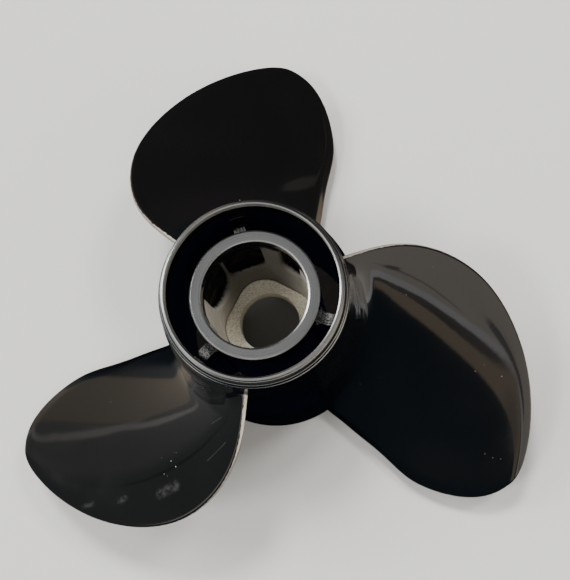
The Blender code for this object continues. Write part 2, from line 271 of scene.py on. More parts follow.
def card_level(tree, direction, azimuth, elevation, roll, half_width, half_height, soft):
    """1 for directions inside a soft oval, 0 outside it."""
    forward = compass(azimuth, elevation)
    right = compass(azimuth + 90, 0)
    upright = Matrix((right, forward.cross(right), forward)).transposed()
    hung = upright @ Matrix.Rotation(math.radians(roll), 3, "Z")
    sizes = [math.sin(math.radians(half)) for half in (half_width, half_height)]
    mapping = add_node(tree, "ShaderNodeMapping", vector_type="TEXTURE", Vector=direction)
    set_inputs(tree, mapping, Rotation=hung.to_euler(), Scale=(*sizes, 1.0))
    aimed = mapping.outputs[0]
    reach = vector_node(tree, "LENGTH", vector_node(tree, "MULTIPLY", aimed, (1.0, 1.0, 0.0)))
    in_front = math_node(tree, "GREATER_THAN", part_of(tree, aimed, "Z"), 0.0)
    return math_node(tree, "MULTIPLY", smooth_step(tree, reach, 1 + soft, 1 - soft), in_front)


# %% World
world = bpy.data.worlds.new("studio")
world.use_nodes = True
bpy.context.scene.world = world
sky = world.node_tree
sky.nodes.clear()
toward = add_node(sky, "ShaderNodeTexCoord").outputs["Generated"]
room = ROOM
for *shape, colour, strength in CARDS + CEILING:
    lit = tuple(strength * channel for channel in colour)
    room = mix_colour(sky, card_level(sky, toward, *shape), room, lit)
from_camera = add_node(sky, "ShaderNodeLightPath").outputs["Is Camera Ray"]
mirrored = add_node(sky, "ShaderNodeBackground", Color=room).outputs[0]
seen = add_node(sky, "ShaderNodeBackground", Color=BACKDROP).outputs[0]
choice = add_node(sky, "ShaderNodeMixShader")
fill(sky, choice.inputs, (from_camera, mirrored, seen))
add_node(sky, "ShaderNodeOutputWorld", Surface=choice.outputs[0])
print(len(CARDS + CEILING), "cards in", len(sky.nodes), "nodes")

# %% Lamps
LAMP_DISTANCE = 2.4
LAMP_SIZE = 0.45

# Name, azimuth and elevation in degrees, power in watts and colour.
LAMPS = (
    ("behind", 90, 67, 40.0, (1.0, 0.99, 0.97)),
    ("in_front", -74, 67, 6.0, (1.0, 0.99, 0.97)),
    ("left_side", 195, 63, 20.0, (1.0, 0.98, 0.95)),
    ("right_side", 22, 63, 20.0, (1.0, 0.98, 0.95)),
)

for name, azimuth, elevation, power, colour in LAMPS:
    data = bpy.data.lights.new(name, "AREA")
    data.shape = "DISK"
    data.size = LAMP_SIZE
    data.energy = power
    data.color = colour
    lamp = bpy.data.objects.new(name, data)
    lamp.location = compass(azimuth, elevation) * LAMP_DISTANCE
    lamp.rotation_euler = lamp.location.to_track_quat("Z", "Y").to_euler()
    lamp.visible_camera = False
    lamp.visible_glossy = False
    bpy.context.scene.collection.objects.link(lamp)
    print("lamp", name, power, "W")

# %% [markdown]
# ## Gloss black paint
# The paint is thick and glossy, and pools smooth over the casting. A dark base under a clear coat gives the
# sharp room in the surface and a faint haze below it. A very shallow noise bends the reflections as sprayed
# paint does. Everything else on it is added in its own cell below.

# %% Places, noise and bumps
def place_of(tree):
    return add_node(tree, "ShaderNodeTexCoord").outputs["Object"]


def noise(tree, place, scale, detail=3.0, roughness=0.5):
    """Noise with features of about 1/scale metres, as a number from 0 to 1."""
    node = add_node(tree, "ShaderNodeTexNoise", Vector=place, Scale=scale, Detail=detail, Roughness=roughness)
    return node.outputs[0]


def bump(tree, shader, height, depth, **below):
    """Tilts the shading as if the surface rose by height x depth, on top of what lies below."""
    node = add_node(tree, "ShaderNodeBump", Strength=1.0, Distance=depth, Height=height, **below)
    set_inputs(tree, shader, Normal=node.outputs[0])
    return node.outputs[0]


# %% [markdown]
# ### Scratches, smudges and dust
# A used propeller is never clean. Two fine scratches, a few torn smudges and some dusty patches lie where
# the photograph shows the largest ones. Each is all that lies near a short line in space, so it needs no
# image and no unwrapping. Dust is a Voronoi pattern with a dot in some of its cells.

# %% Marks along a line
def near_line(tree, place, start, end, full, gone):
    """1 within one distance of a line between two points in millimetres, 0 beyond another distance."""
    start, end = Vector(start) * MM, Vector(end) * MM
    heading = (end - start).normalized()
    along = vector_node(tree, "SUBTRACT", place, start)
    travel = vector_node(tree, "DOT_PRODUCT", along, heading)
    held = add_node(tree, "ShaderNodeClamp", Value=travel, Max=(end - start).length).outputs[0]
    away = vector_node(tree, "DISTANCE", along, vector_node(tree, "MULTIPLY", held, heading))
    return smooth_step(tree, away, gone * MM, full * MM)


def marks(tree, place, lines):
    """The strongest of some marks, each a start, an end, two distances and a strength."""
    total = 0.0
    for *line, strength in lines:
        mark = math_node(tree, "MULTIPLY", near_line(tree, place, *line), strength)
        total = math_node(tree, "MAXIMUM", mark, total)
    return total


# %% Dust
def dust_specks(tree, place, per_metre, size, share):
    """Pale specks: a dot in some cells of a Voronoi pattern, 1 on a speck and 0 off it."""
    cells = add_node(tree, "ShaderNodeTexVoronoi", Scale=per_metre, Vector=place)
    dot = smooth_step(tree, cells.outputs["Distance"], size * per_metre, 0.4 * size * per_metre)
    draw = add_node(tree, "ShaderNodeSeparateColor", Color=cells.outputs["Color"]).outputs[0]
    chosen = math_node(tree, "GREATER_THAN", draw, 1.0 - share)
    return math_node(tree, "MULTIPLY", dot, chosen)


# %% Where the marks lie
# Places on the blades, in millimetres: start, end, how far each mark is full and gone, and its strength.
SCRATCHES = (
    ((-45.5, -74.2, 97.3), (-33.0, -67.9, 107.0), 0.1, 0.45, 0.22),
    ((-39.2, -55.8, 99.0), (-32.5, -54.6, 105.6), 0.1, 0.40, 0.20),
)
SMUDGES = (
    ((-127.0, -80.4, 54.0), (-120.5, -80.4, 57.0), 0.2, 2.2, 0.30),
    ((-103.0, -82.4, 65.0), (-99.5, -82.0, 66.6), 0.2, 2.6, 0.40),
    ((-78.0, -84.5, 78.0), (-67.0, -82.5, 83.8), 0.5, 4.0, 0.45),
)
DUSTY = (
    ((-74.0, -69.1, 77.0), (-69.0, -69.1, 79.0), 2.0, 9.0, 1.0),
    ((104.0, -108.0, 36.0), (108.0, -104.0, 36.0), 1.0, 7.0, 0.8),
    ((110.0, -60.0, 60.0), (114.0, -56.0, 60.0), 1.0, 7.0, 0.8),
)
print(len(SCRATCHES), "scratches,", len(SMUDGES), "smudges,", len(DUSTY), "dusty patches")

# %% [markdown]
# ### The paint itself
# The layers go on in the order that the real ones did: paint, scuffs, dust, and last the bare metal where the
# edges that meet the water have worn through. The `wear` attribute that each blade's mesh brings says where.

# %% Paint
BLACK = (0.002, 0.002, 0.002)
FADED_BLACK = (0.004, 0.004, 0.004)
SCUFFED = (0.60, 0.60, 0.60)
DUST = (0.45, 0.43, 0.40)
WORN_METAL = (0.62, 0.57, 0.48)
PEEL_DEPTH = 0.012 * MM


def gloss_paint(name):
    material, tree, shader = start_material(name, (0.004, 0.004, 0.005), 0.22, 0.0)
    place = place_of(tree)
    tint = mix_colour(tree, noise(tree, place, 14.0, 4.0), BLACK, FADED_BLACK)
    torn = smooth_step(tree, noise(tree, place, 420.0, 5.0, 0.7), 0.30, 0.75)
    smudged = math_node(tree, "MULTIPLY", marks(tree, place, SMUDGES), torn)
    rubbed = math_node(tree, "MAXIMUM", smudged, marks(tree, place, SCRATCHES))
    hazy = mix_colour(tree, math_node(tree, "MULTIPLY", rubbed, 0.16), tint, SCUFFED)
    specks = dust_specks(tree, place, 230.0, 0.45 * MM, 0.05)
    patchy = math_node(tree, "MULTIPLY", specks, smooth_step(tree, noise(tree, place, 22.0), 0.5, 0.62))
    fine_specks = dust_specks(tree, place, 520.0, 0.40 * MM, 0.22)
    thick = math_node(tree, "MULTIPLY", fine_specks, marks(tree, place, DUSTY))
    dusty = mix_colour(tree, math_node(tree, "MAXIMUM", patchy, thick), hazy, DUST)
    worn = add_node(tree, "ShaderNodeAttribute", attribute_name="wear").outputs["Fac"]
    ragged = math_node(tree, "MULTIPLY", noise(tree, place, 420.0, 4.0), 0.5)
    bare = smooth_step(tree, math_node(tree, "ADD", worn, ragged), 0.98, 1.12)
    smear = smooth_step(tree, noise(tree, place, 30.0, 5.0, 0.6), 0.35, 0.75, 0.16, 0.30)
    metallic = math_node(tree, "MULTIPLY", bare, 0.6)
    colour = mix_colour(tree, bare, dusty, WORN_METAL)
    set_inputs(tree, shader, Base_Color=colour, Metallic=metallic, Roughness=smear)
    set_inputs(tree, shader, Specular_IOR_Level=0.15, Coat_Weight=1.0, Coat_Roughness=0.04)
    peel = bump(tree, shader, noise(tree, place, 210.0, 2.0), PEEL_DEPTH)
    set_inputs(tree, shader, Coat_Normal=peel)
    return material


PAINT = gloss_paint("gloss_black_paint")
print("paint nodes:", len(PAINT.node_tree.nodes))

# %% [markdown]
# ## Machined and bare cast aluminium
# The lathe leaves rings a fraction of a millimetre apart. They all run round the shaft, so the noise that
# makes them has one dimension: the distance from the shaft plus the height. The socket is as the mould
# left it, a dull tan grey, and the faces that the tool only skimmed are coarse and open.

# %% Machined metal
GROOVES_PER_METRE = 1100.0
BANDS_PER_METRE = 900.0
GROOVE_DEPTH = 0.015 * MM


def shaft_distance(tree, place):
    """How far each point lies from the shaft's axis."""
    return vector_node(tree, "LENGTH", vector_node(tree, "MULTIPLY", place, (1.0, 1.0, 0.0)))


def rings(tree, travel, per_metre, detail):
    node = add_node(tree, "ShaderNodeTexNoise", noise_dimensions="1D", W=travel)
    set_inputs(tree, node, Scale=per_metre, Detail=detail)
    return node.outputs[0]


def machined_metal(name):
    material, tree, shader = start_material(name, (0.36, 0.37, 0.37), 0.28, 1.0)
    place = place_of(tree)
    travel = math_node(tree, "ADD", shaft_distance(tree, place), part_of(tree, place, "Z"))
    film_and_shade = noise(tree, place, 60.0, 4.0)
    tint = mix_colour(tree, rings(tree, travel, BANDS_PER_METRE, 3.0), (0.33, 0.34, 0.34), (0.45, 0.46, 0.45))
    dulled = mix_colour(tree, smooth_step(tree, film_and_shade, 0.45, 0.8, 0.0, 0.5), tint, (0.30, 0.30, 0.29))
    dullness = smooth_step(tree, film_and_shade, 0.3, 0.7, 0.22, 0.32)
    set_inputs(tree, shader, Base_Color=dulled, Roughness=dullness)
    bump(tree, shader, rings(tree, travel, GROOVES_PER_METRE, 1.0), GROOVE_DEPTH)
    return material


MACHINED = machined_metal("machined_aluminium")


# %% Cast metal
def cast_metal(name, light, dark, grain_depth, grain=130.0, contrast=(0.2, 0.8)):
    """A dull bare casting; grain is the number of its light and dark blotches to the metre."""
    material, tree, shader = start_material(name, light, 0.6, 0.10)
    place = place_of(tree)
    mottle = smooth_step(tree, noise(tree, place, grain, 5.0, 0.6), *contrast)
    dullness = smooth_step(tree, mottle, 0.3, 0.7, 0.5, 0.72)
    colour = mix_colour(tree, mottle, dark, light)
    set_inputs(tree, shader, Base_Color=colour, Roughness=dullness, Specular_IOR_Level=0.05)
    coarse = bump(tree, shader, noise(tree, place, 340.0, 3.0), grain_depth)
    bump(tree, shader, noise(tree, place, 1500.0, 4.0, 0.7), 0.5 * grain_depth, Normal=coarse)
    return material


SOCKET_CAST = cast_metal("cast_metal", (0.78, 0.75, 0.66), (0.52, 0.49, 0.43), 0.10 * MM)
SEAT_CAST = cast_metal("seat_metal", (0.88, 0.84, 0.71), (0.46, 0.42, 0.33), 0.10 * MM, 900.0, (0.20, 0.78))
FACED_CAST = cast_metal(
    "faced_metal", (0.42, 0.42, 0.41), (0.02, 0.02, 0.02), 0.20 * MM, 1500.0, (0.36, 0.68)
)
BORED = cast_metal("bored_metal", (0.28, 0.28, 0.27), (0.18, 0.18, 0.17), 0.03 * MM)
print("metals:", MACHINED.name, SOCKET_CAST.name, SEAT_CAST.name, FACED_CAST.name, BORED.name)

# %% [markdown]
# ## Turned pieces
# Rim, barrel, flare, hub and thrust ring are all surfaces of revolution. Each is an outline of corners, with
# the rounding that the lathe or the mould gave each corner, turned round the shaft. A grid of points, with
# a row for each point of the outline, does it in a few lines, and the socket, the ribs and the blades are
# grids as well. No modifier is left on a mesh, so the finished surface is in hand for the steps that follow.

# %% Meshes from grids of points
def to_points(radius, angle, height):
    return np.stack([radius * np.cos(angle), radius * np.sin(angle), height], axis=-1)


def grid_faces(rows, columns):
    """Faces of a grid of points numbered row by row, with the last column joined to the first."""
    faces = []
    for row in range(rows - 1):
        for column in range(columns):
            here, there = row * columns + column, row * columns + (column + 1) % columns
            faces.append((here, there, there + columns, here + columns))
    return faces


def closing_faces(rows, columns):
    """Faces that join the last row of such a grid to the first."""
    last = (rows - 1) * columns
    return [(last + i, last + (i + 1) % columns, (i + 1) % columns, i) for i in range(columns)]


def mesh_piece(name, points, faces):
    """Makes an object of points and faces, and turns every face outwards."""
    mesh = bpy.data.meshes.new(name)
    mesh.from_pydata([tuple(point) for point in points], [], faces)
    shape = bmesh.new()
    shape.from_mesh(mesh)
    bmesh.ops.recalc_face_normals(shape, faces=shape.faces)
    shape.to_mesh(mesh)
    shape.free()
    piece = bpy.data.objects.new(name, mesh)
    bpy.context.scene.collection.objects.link(piece)
    return piece


def closed_grid(name, rows):
    """Makes an object of closed rings of points, with the last ring joined to the first."""
    count = len(rows[0])
    faces = grid_faces(len(rows), count) + closing_faces(len(rows), count)
    return mesh_piece(name, np.concatenate(rows), faces)


# %% Round the corners of an outline
CORNER_STEPS = 5


def rounded(corners):
    """A closed outline from (radius, height, rounding) corners, all in metres."""
    points = []
    for index, (radius, height, rounding) in enumerate(corners):
        corner = Vector((radius, height))
        before = Vector(corners[index - 1][:2]) - corner
        after = Vector(corners[(index + 1) % len(corners)][:2]) - corner
        reach = min(rounding, 0.45 * before.length, 0.45 * after.length)
        if reach == 0:
            points.append(corner)
            continue
        start = corner + before.normalized() * reach
        end = corner + after.normalized() * reach
        for step in range(CORNER_STEPS + 1):
            t = step / CORNER_STEPS
            points.append(start * (1 - t) ** 2 + corner * 2 * t * (1 - t) + end * t * t)
    return points


# %% Turn an outline round the shaft
TURN_STEPS = 288
TURNS = np.arange(TURN_STEPS) * math.tau / TURN_STEPS


def ring_of(radius, height):
    return to_points(radius, TURNS, np.full_like(TURNS, height))


def turned(name, outline):
    return closed_grid(name, [ring_of(point.x, point.y) for point in outline])


# %% Give a piece its finish and its node
def finish_piece(piece, node, materials, sharp=35):
    """Shades a piece, gives it its finish, and lets it stand for its node."""
    for material in materials:
        piece.data.materials.append(material)
    piece.data.shade_smooth()
    piece.data.set_sharp_from_angle(angle=math.radians(sharp))
    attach(piece, "root")
    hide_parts(node)
    print(piece.name, len(piece.data.polygons), "faces")


# %% [markdown]
# ## The machined front
# The rim slides into the gearcase. From the front it shows as bright and dark rings: a ridge with an inner
# and an outer slope, the lip of the land's cylinder, a black groove at its foot, and a painted slope between
# two bright corners, the step and the shoulder. The slopes are shallow, as a lathe's deburring pass leaves
# them, and each catches the light on one side of the shaft. Below the ridge the bore is bare for a few
# millimetres, then painted.

# %% The rim's outline
RIDGE_RADIUS = SHOULDER_RADIUS - 4.0 * MM
RIM_BORE = SHOULDER_RADIUS - 4.8 * MM
RIM_RADIUS = SHOULDER_RADIUS - 2.8 * MM
LAND_RADIUS = SHOULDER_RADIUS - 2.25 * MM
STEP_RADIUS = SHOULDER_RADIUS - 1.1 * MM
STEP_Z = RIM_Z - 7.3 * MM
GROOVE_RADIUS = LAND_RADIUS + 0.8 * MM


def spigot_outline():
    """Ridge, land, groove, step and shoulder, and back up the bore."""
    fine = 0.12 * MM
    return rounded([
        (RIDGE_RADIUS, RIM_Z, fine),
        (RIM_RADIUS, RIM_Z - 0.42 * MM, fine),
        (RIM_RADIUS, RIM_Z - 3.2 * MM, fine),
        (LAND_RADIUS - 0.05 * MM, RIM_Z - 3.38 * MM, fine),
        (LAND_RADIUS, RIM_Z - 3.7 * MM, fine),
        (LAND_RADIUS, STEP_Z - 0.3 * MM, fine),
        (LAND_RADIUS + 0.75 * MM, STEP_Z - 0.3 * MM, fine),
        (GROOVE_RADIUS, STEP_Z, fine),
        (STEP_RADIUS, STEP_Z, fine),
        (STEP_RADIUS + 0.12 * MM, STEP_Z - 0.2 * MM, 0.05 * MM),
        (SHOULDER_RADIUS - 0.42 * MM, SHOULDER_Z + 0.56 * MM, 0.05 * MM),
        (SHOULDER_RADIUS - 0.04 * MM, SHOULDER_Z + 0.40 * MM, fine),
        (SHOULDER_RADIUS, SHOULDER_Z + 0.1 * MM, fine),
        (SHOULDER_RADIUS, SHOULDER_Z, 0.0),
        (RIM_BORE - 0.7 * MM, SHOULDER_Z, 0.0),
        (RIM_BORE, RIM_Z - 4.7 * MM, 1.0 * MM),
        (RIM_BORE, RIM_Z - 0.35 * MM, fine),
    ])


# %% Front spigot
BARE_BORE = 4.0 * MM


def paint_faces(piece, choose):
    """Gives each face the material whose number the function returns for its radius and height."""
    for face in piece.data.polygons:
        face.material_index = int(choose(face.center.xy.length, face.center.z))


def spigot_material(radius, height):
    """0 for machined, 1 for painted and 2 for bored metal."""
    if radius < RIM_BORE + 0.1 * MM and height < RIM_Z - 0.5 * MM:
        return 2 if height > RIM_Z - BARE_BORE else 1
    in_groove = LAND_RADIUS < radius < GROOVE_RADIUS and height < STEP_Z - 0.1 * MM
    return in_groove or STEP_RADIUS + 0.13 * MM < radius < SHOULDER_RADIUS - 0.43 * MM


spigot = turned("front_spigot_machined", spigot_outline())
finish_piece(spigot, "front_spigot", [MACHINED, PAINT, BORED])
paint_faces(spigot, spigot_material)

# %% [markdown]
# ## Barrel and flare
# Behind the machined front the barrel swells, then runs straight to the aft end, where a flared ring keeps
# the exhaust from being drawn back along the blades. The swell has no corners, so its outline is a smooth
# curve through a few measured radii.

# %% A smooth curve through a few radii
BARREL_WALL = 4.6 * MM

# Height and radius in millimetres: the barrel's outside, its inside, and the outside of the flare.
SWELL = (
    (134.5, 48.9), (127.0, 49.6), (121.0, 50.8), (111.0, 52.3), (99.0, 53.4), (71.0, 54.0), (15.0, 54.0)
)
PASSAGE = (
    (134.5, 43.3), (127.0, 44.6), (121.0, 46.0), (111.0, 47.5), (99.0, 48.7), (87.0, 49.4), (15.0, 49.4)
)
FLARE = ((14.7, 54.0), (10.0, 54.4), (6.5, 55.0), (3.5, 56.3), (0.0, 57.5))


def smooth_line(knots, count):
    """Points on a smooth falling curve through (height, radius) knots in millimetres."""
    heights, radii = (np.array(column) for column in zip(*knots))
    slopes = np.gradient(radii, heights)
    wanted = np.linspace(heights[0], heights[-1], count)
    points = []
    for height in wanted:
        index = min(int(np.searchsorted(-heights, -height, side="right")) - 1, len(heights) - 2)
        step = heights[index + 1] - heights[index]
        t = (height - heights[index]) / step
        radius = (
            (2 * t ** 3 - 3 * t ** 2 + 1) * radii[index]
            + (t ** 3 - 2 * t ** 2 + t) * step * slopes[index]
            + (3 * t ** 2 - 2 * t ** 3) * radii[index + 1]
            + (t ** 3 - t ** 2) * step * slopes[index + 1]
        )
        points.append((min(radius, max(radii)) * MM, height * MM, 0.0))
    return points


# %% Barrel
def barrel_outline():
    outside = smooth_line(SWELL, 48)
    inside = smooth_line(PASSAGE, 40)[::-1]
    outside[0] = (*outside[0][:2], 0.3 * MM)
    return rounded(outside + inside)


barrel = turned("barrel_painted", barrel_outline())
finish_piece(barrel, "barrel", [PAINT])


# %% Flare
def flare_outline():
    outside = smooth_line(FLARE, 24)
    outside[-1] = (*outside[-1][:2], 0.8 * MM)
    bore = BARREL_RADIUS - BARREL_WALL
    inside = [
        (FLARE_RADIUS - 3.2 * MM, AFT_Z, 0.8 * MM),
        (bore + 0.8 * MM, AFT_Z + 8.0 * MM, 4.0 * MM),
        (bore, FLARE_TOP, 0.0),
    ]
    return rounded(outside + inside)


flare = turned("aft_flare_painted", flare_outline())
finish_piece(flare, "aft_flare", [PAINT])

# %% [markdown]
# ## Inner hub and thrust ring
# The inner hub is a plain painted tube. Its front end is faced flat on the lathe and bears on the thrust
# washer, so the ring is bright and its two edges are broken with a small bevel that catches the light.
# Paint is left in its bore, below the bevel.

# %% Hub and thrust ring
MOUTH_RADIUS = RING_RADIUS - 6.1 * MM
HUB_BORE = HUB_RADIUS - 3.3 * MM
BEVEL_WIDTH = 0.9 * MM
BEVEL_DROP = 0.32 * MM


def ring_outline():
    fine = 0.1 * MM
    return rounded([
        (RING_RADIUS - BEVEL_WIDTH, THRUST_Z, fine),
        (RING_RADIUS, THRUST_Z - BEVEL_DROP, fine),
        (RING_RADIUS, RING_LOW, 0.0),
        (MOUTH_RADIUS, RING_LOW, 0.0),
        (MOUTH_RADIUS, THRUST_Z - BEVEL_DROP, fine),
        (MOUTH_RADIUS + BEVEL_WIDTH, THRUST_Z, fine),
    ])


ring = turned("thrust_ring_machined", ring_outline())
finish_piece(ring, "thrust_ring", [MACHINED, PAINT])
paint_faces(ring, lambda radius, height: height < THRUST_Z - 2 * BEVEL_DROP)

hub = turned("inner_hub_painted", rounded([
    (HUB_RADIUS, HUB_TOP, 0.0),
    (HUB_RADIUS, HUB_LOW, 1.2 * MM),
    (HUB_BORE, HUB_LOW, 0.3 * MM),
    (HUB_BORE, HUB_TOP, 0.0),
]))
finish_piece(hub, "inner_hub", [PAINT])

# %% [markdown]
# ## The drive socket
# A rubber-cushioned bush is pressed into the square socket. The mould made it round at the mouth and square
# with rounded corners at the seat, with six rounded pockets in its wall to save metal. One grid of points
# round the shaft holds all of it: the wall's radius is a formula of the angle and the height, and each
# pocket pushes the wall outwards inside its own U-shaped outline. Paint has drifted into the mouth and the
# pockets, and the pockets' black is also painted shade of the recesses. The wall is also painted darker
# towards +Y, as painted shade on that side.

# %% The socket's wall as a formula
SOCKET_HALF = 23.9 * MM
SOCKET_CORNER = 16.8 * MM
SOCKET_ANGLE = 139.5
POCKET_RADIUS = 30.0 * MM
POCKET_EDGE = 1.3 * MM
POCKET_POWER = 2.4

# Direction and half width in degrees, reach below the thrust face, height of the rounded end, and the reach
# that is lost for each metre anticlockwise.
POCKETS = (
    (97.0, 22.0, 56.0 * MM, 18.0 * MM, 0.15),
    (143.5, 21.0, 61.0 * MM, 30.0 * MM, 0.0),
    (217.0, 22.0, 56.0 * MM, 18.0 * MM, 0.15),
    (263.5, 21.0, 61.0 * MM, 30.0 * MM, 0.0),
    (337.0, 22.0, 56.0 * MM, 18.0 * MM, 0.15),
    (39.0, 13.0, 43.0 * MM, 12.0 * MM, 0.0),
)


def ease(value):
    """Smoothstep of a value held between 0 and 1."""
    value = np.clip(value, 0.0, 1.0)
    return value * value * (3 - 2 * value)


def plain_wall(degrees, height):
    """The wall's radius without its pockets: round at the mouth, square with round corners at the seat."""
    turn = np.radians((degrees - SOCKET_ANGLE) % 90)
    turn = np.minimum(turn, math.pi / 2 - turn)
    centre = SOCKET_HALF - SOCKET_CORNER
    along = centre * (np.cos(turn) + np.sin(turn))
    arc = along + np.sqrt(along ** 2 - 2 * centre ** 2 + SOCKET_CORNER ** 2)
    square = np.where(SOCKET_HALF * np.tan(turn) < centre, SOCKET_HALF / np.cos(turn), arc)
    depth = np.clip((RING_LOW - height) / (RING_LOW - SEAT_Z), 0.0, 1.0) ** 0.8
    return (MOUTH_RADIUS + 0.2 * MM) * (1 - depth) + square * depth


def pocket_depth(degrees, height):
    """How much of a pocket is open at each point: 0 on the wall and 1 inside a pocket."""
    opening = np.zeros(np.broadcast(degrees, height).shape)
    middle = (MOUTH_RADIUS + HUB_BORE) / 2
    for direction, half_angle, reach, end, skew in POCKETS:
        x = middle * np.radians((degrees - direction + 180) % 360 - 180)
        half = middle * math.radians(half_angle)
        below = np.maximum(THRUST_Z - reach + end + skew * x - height, 0.0)
        reached = (np.abs(x) / half) ** POCKET_POWER + (below / end) ** POCKET_POWER
        outside = (reached ** (1 / POCKET_POWER) - 1.0) * half
        opening = np.maximum(opening, ease(0.5 - outside / POCKET_EDGE / 2))
    return opening


# %% Build the socket
SOCKET_COLUMNS = 360
SOCKET_ROWS = 96


def point_values(piece, name, values):
    """Stores a number for each point of a piece, for its material to read."""
    layer = piece.data.attributes.new(name, "FLOAT", "POINT")
    layer.data.foreach_set("value", values.astype(np.float32))


def make_socket():
    degrees = np.arange(SOCKET_COLUMNS) * 360.0 / SOCKET_COLUMNS
    heights = np.concatenate([np.linspace(SOCKET_TOP, SEAT_Z, SOCKET_ROWS), [SOCKET_LOW]])
    angle, height = np.meshgrid(degrees, heights)
    opening = pocket_depth(angle, height)
    radius = plain_wall(angle, height) * (1 - opening) + POCKET_RADIUS * opening
    outer_angle, outer_height = np.meshgrid(degrees, [SOCKET_LOW, SOCKET_TOP])
    radius = np.concatenate([radius, np.full(outer_angle.shape, SOCKET_OUTSIDE)])
    height = np.concatenate([height, outer_height])
    angle = np.radians(np.concatenate([angle, outer_angle]))
    piece = closed_grid("drive_socket_cast", to_points(radius, angle, height))
    point_values(piece, "opening", np.append(opening.ravel(), np.zeros(2 * SOCKET_COLUMNS)))
    return piece


socket = make_socket()
print("socket pockets:", len(POCKETS))


# %% Paint drifted into the socket, and painted shade in it
# A painted shade colour for the +Y side of the wall, and a black for drifted paint that is also painted shade
# in the pockets.
PAINTED_SHADE_TINT = (0.03, 0.028, 0.024)
PAINT_AND_SHADE_BLACK = (0.001, 0.001, 0.002)


def drifted_paint_and_shade(material):
    """Blackens near the mouth and in the pockets, with a ragged edge: drifted paint in both, and painted shade
    as well in the pockets; darkens the +Y side as painted shade.
    """
    tree = material.node_tree
    shader = tree.nodes["Principled BSDF"]
    place = place_of(tree)
    ragged = math_node(tree, "MULTIPLY", noise(tree, place, 110.0, 4.0), 12.0 * MM)
    level = math_node(tree, "ADD", part_of(tree, place, "Z"), ragged)
    mouth = smooth_step(tree, level, SOCKET_TOP - 3.0 * MM, SOCKET_TOP + 1.5 * MM)
    opening = add_node(tree, "ShaderNodeAttribute", attribute_name="opening").outputs["Fac"]
    fine_ragged = math_node(tree, "MULTIPLY", noise(tree, place, 500.0, 3.0), 0.5)
    torn = math_node(tree, "ADD", opening, fine_ragged)
    # The black of the pockets is drifted paint and painted shade of the recesses.
    black = math_node(tree, "MAXIMUM", mouth, smooth_step(tree, torn, 0.5, 0.95))
    metal = shader.inputs["Base Color"].links[0].from_socket
    # Painted shade: the wall grows darker towards +Y.
    film_and_shade = smooth_step(tree, part_of(tree, place, "Y"), 2.0 * MM, 22.0 * MM, 0.0, 0.82)
    colour = mix_colour(tree, black, mix_colour(tree, film_and_shade, metal, PAINTED_SHADE_TINT), PAINT_AND_SHADE_BLACK)
    set_inputs(tree, shader, Base_Color=colour, Metallic=smooth_step(tree, black, 0.0, 1.0, 0.10, 0.0))


drifted_paint_and_shade(SOCKET_CAST)
finish_piece(socket, "drive_socket", [SOCKET_CAST], sharp=60)

# %% [markdown]
# ## The shaft seat
# The floor of the socket carries the bush and, from below, the nut. It is a thick plate with the socket's
# rounded corners and a clear hole, and the skin of the casting is lightest here. A ring of points at the
# hole and one at the edge, each with a small rounding, make the plate.

# %% Seat
SHAFT_HOLE = 17.7 * MM
SEAT_GAP = 0.3 * MM
SEAT_ROUNDING = 0.4 * MM


def make_seat():
    """Rings from the edge inwards over the top, round into the hole, down it and back out below."""
    edge = plain_wall(np.degrees(TURNS), SEAT_Z) - SEAT_GAP
    hole = np.full(TURN_STEPS, SHAFT_HOLE)
    levels = [(edge, SEAT_Z - SEAT_ROUNDING), (edge - SEAT_ROUNDING, SEAT_Z)]
    for share in (0.75, 0.5, 0.25):
        levels.append((hole + (edge - hole) * share, SEAT_Z))
    for turn in np.radians([0, 22.5, 45, 67.5, 90]):
        inward, down = SEAT_ROUNDING * (1 - math.sin(turn)), SEAT_ROUNDING * (1 - math.cos(turn))
        levels.append((hole + inward, SEAT_Z - down))
    levels += [(hole, SEAT_LOW), (edge, SEAT_LOW)]
    return closed_grid("shaft_seat_cast", [ring_of(radius, height) for radius, height in levels])


seat = make_seat()
finish_piece(seat, "shaft_seat", [SEAT_CAST])

# %% [markdown]
# ## Ribs
# Three ribs carry the inner hub. Each is a wall that spreads where it meets the two tubes, as every cast
# wall does, because a sharp inner corner would crack. The lathe has skimmed the front of each rib, next to
# the hub, down to open grey metal.

# %% Rib shape
RIB_HALF = 3.2 * MM
RIB_ROUNDING = 2.2 * MM
RIB_FACED_RADIUS = 42.0 * MM
RIB_SLOPE = 2.0 * MM
RIB_COLUMNS = 25


def passage_radius(height):
    """The inside radius of the barrel at a height."""
    heights, radii = zip(*PASSAGE[::-1])
    return np.interp(height, np.array(heights) * MM, np.array(radii) * MM)


